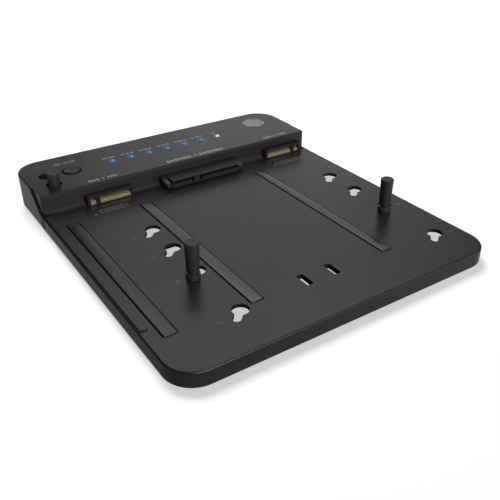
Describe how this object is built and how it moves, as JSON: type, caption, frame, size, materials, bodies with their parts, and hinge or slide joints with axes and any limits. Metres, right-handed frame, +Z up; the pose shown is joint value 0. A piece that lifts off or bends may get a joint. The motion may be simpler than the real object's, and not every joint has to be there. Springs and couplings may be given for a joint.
{
  "type": "drive duplicator",
  "caption": "Flat desktop dock that copies one memory card or bare drive to another, with keyholes and pins for cards, soft strips for a drive and a row of progress lights.",
  "frame": {"origin": "middle of the footprint, on the surface that the feet stand on", "axes": "+X towards the right as seen from the front, +Y from the front edge towards the rear wall, +Z up"},
  "size_m": [0.144, 0.1644, 0.0233],
  "materials": {
    "case_plastic": "satin, fine even texture",
    "cover_plastic": "matte, fine texture",
    "screw_steel": "zinc plated",
    "board_laminate": "coated laminate",
    "chip_plastic": "moulded",
    "coil_ferrite": "pressed ferrite",
    "socket_plastic": "moulded, smooth",
    "contact_gold": "thin gold plating",
    "strip_rubber": "soft, matte",
    "pin_plastic": "satin",
    "button_plastic": "satin, slight dish",
    "switch_plastic": "moulded",
    "plunger_plastic": "moulded",
    "light_blue": "clear, lit from below",
    "light_white": "clear, lit from below",
    "diode_body": "cast",
    "port_steel": "drawn and plated",
    "tongue_plastic": "moulded",
    "port_plastic": "moulded",
    "contact_steel": "plated",
    "slider_plastic": "moulded, ridged",
    "foot_rubber": "soft, matte"
  },
  "bodies": {
    "case": {"top_shell": "case_plastic", "bottom_cover": "cover_plastic", "cover_screws": "screw_steel", "board_screws": "screw_steel", "main_board": "board_laminate", "bridge_chips": "chip_plastic", "power_coils": "coil_ferrite", "card_socket_left": "socket_plastic", "card_contacts_left": "contact_gold", "card_socket_right": "socket_plastic", "card_contacts_right": "contact_gold", "drive_socket": "socket_plastic", "drive_contacts": "contact_gold", "grip_strip_left": "strip_rubber", "grip_strip_centre": "strip_rubber", "grip_strip_right": "strip_rubber", "switch_housing": "switch_plastic", "light_guides_blue": "light_blue", "light_guide_white": "light_white", "status_diodes": "diode_body", "data_port_shell": "port_steel", "data_port_tongue": "tongue_plastic", "power_port_body": "port_plastic", "power_port_pin": "contact_steel", "power_switch_body": "switch_plastic", "rubber_feet": "foot_rubber"},
    "button": {"clone_button": "button_plastic", "switch_plunger": "plunger_plastic"},
    "power_slider": {"power_switch_slider": "slider_plastic"},
    "pin_left": {"retaining_pin_left": "pin_plastic"},
    "pin_right": {"retaining_pin_right": "pin_plastic"},
    "pin_spare": {"retaining_pin_spare": "pin_plastic"}
  },
  "joints": [
    {"name": "clone_button_press", "type": "slide", "parent": "case", "child": "button", "axis": [0, 0, -1], "range_m": [0, 0.0005], "stiffness_N_per_m": 400, "springref_m": -0.0005},
    {"name": "power_switch_slide", "type": "slide", "parent": "case", "child": "power_slider", "axis": [1, 0, 0], "range_m": [0, 0.0022]},
    {"name": "pin_left_slide", "type": "slide", "parent": "case", "child": "pin_left", "axis": [0.7071, 0.7071, 0], "range_m": [0, 0.00566]},
    {"name": "pin_right_slide", "type": "slide", "parent": "case", "child": "pin_right", "axis": [0.7071, 0.7071, 0], "range_m": [0, 0.00566]},
    {"name": "pin_spare_lift", "type": "slide", "parent": "case", "child": "pin_spare", "axis": [0, 0, 1], "range_m": [0, 0.02]}
  ]
}
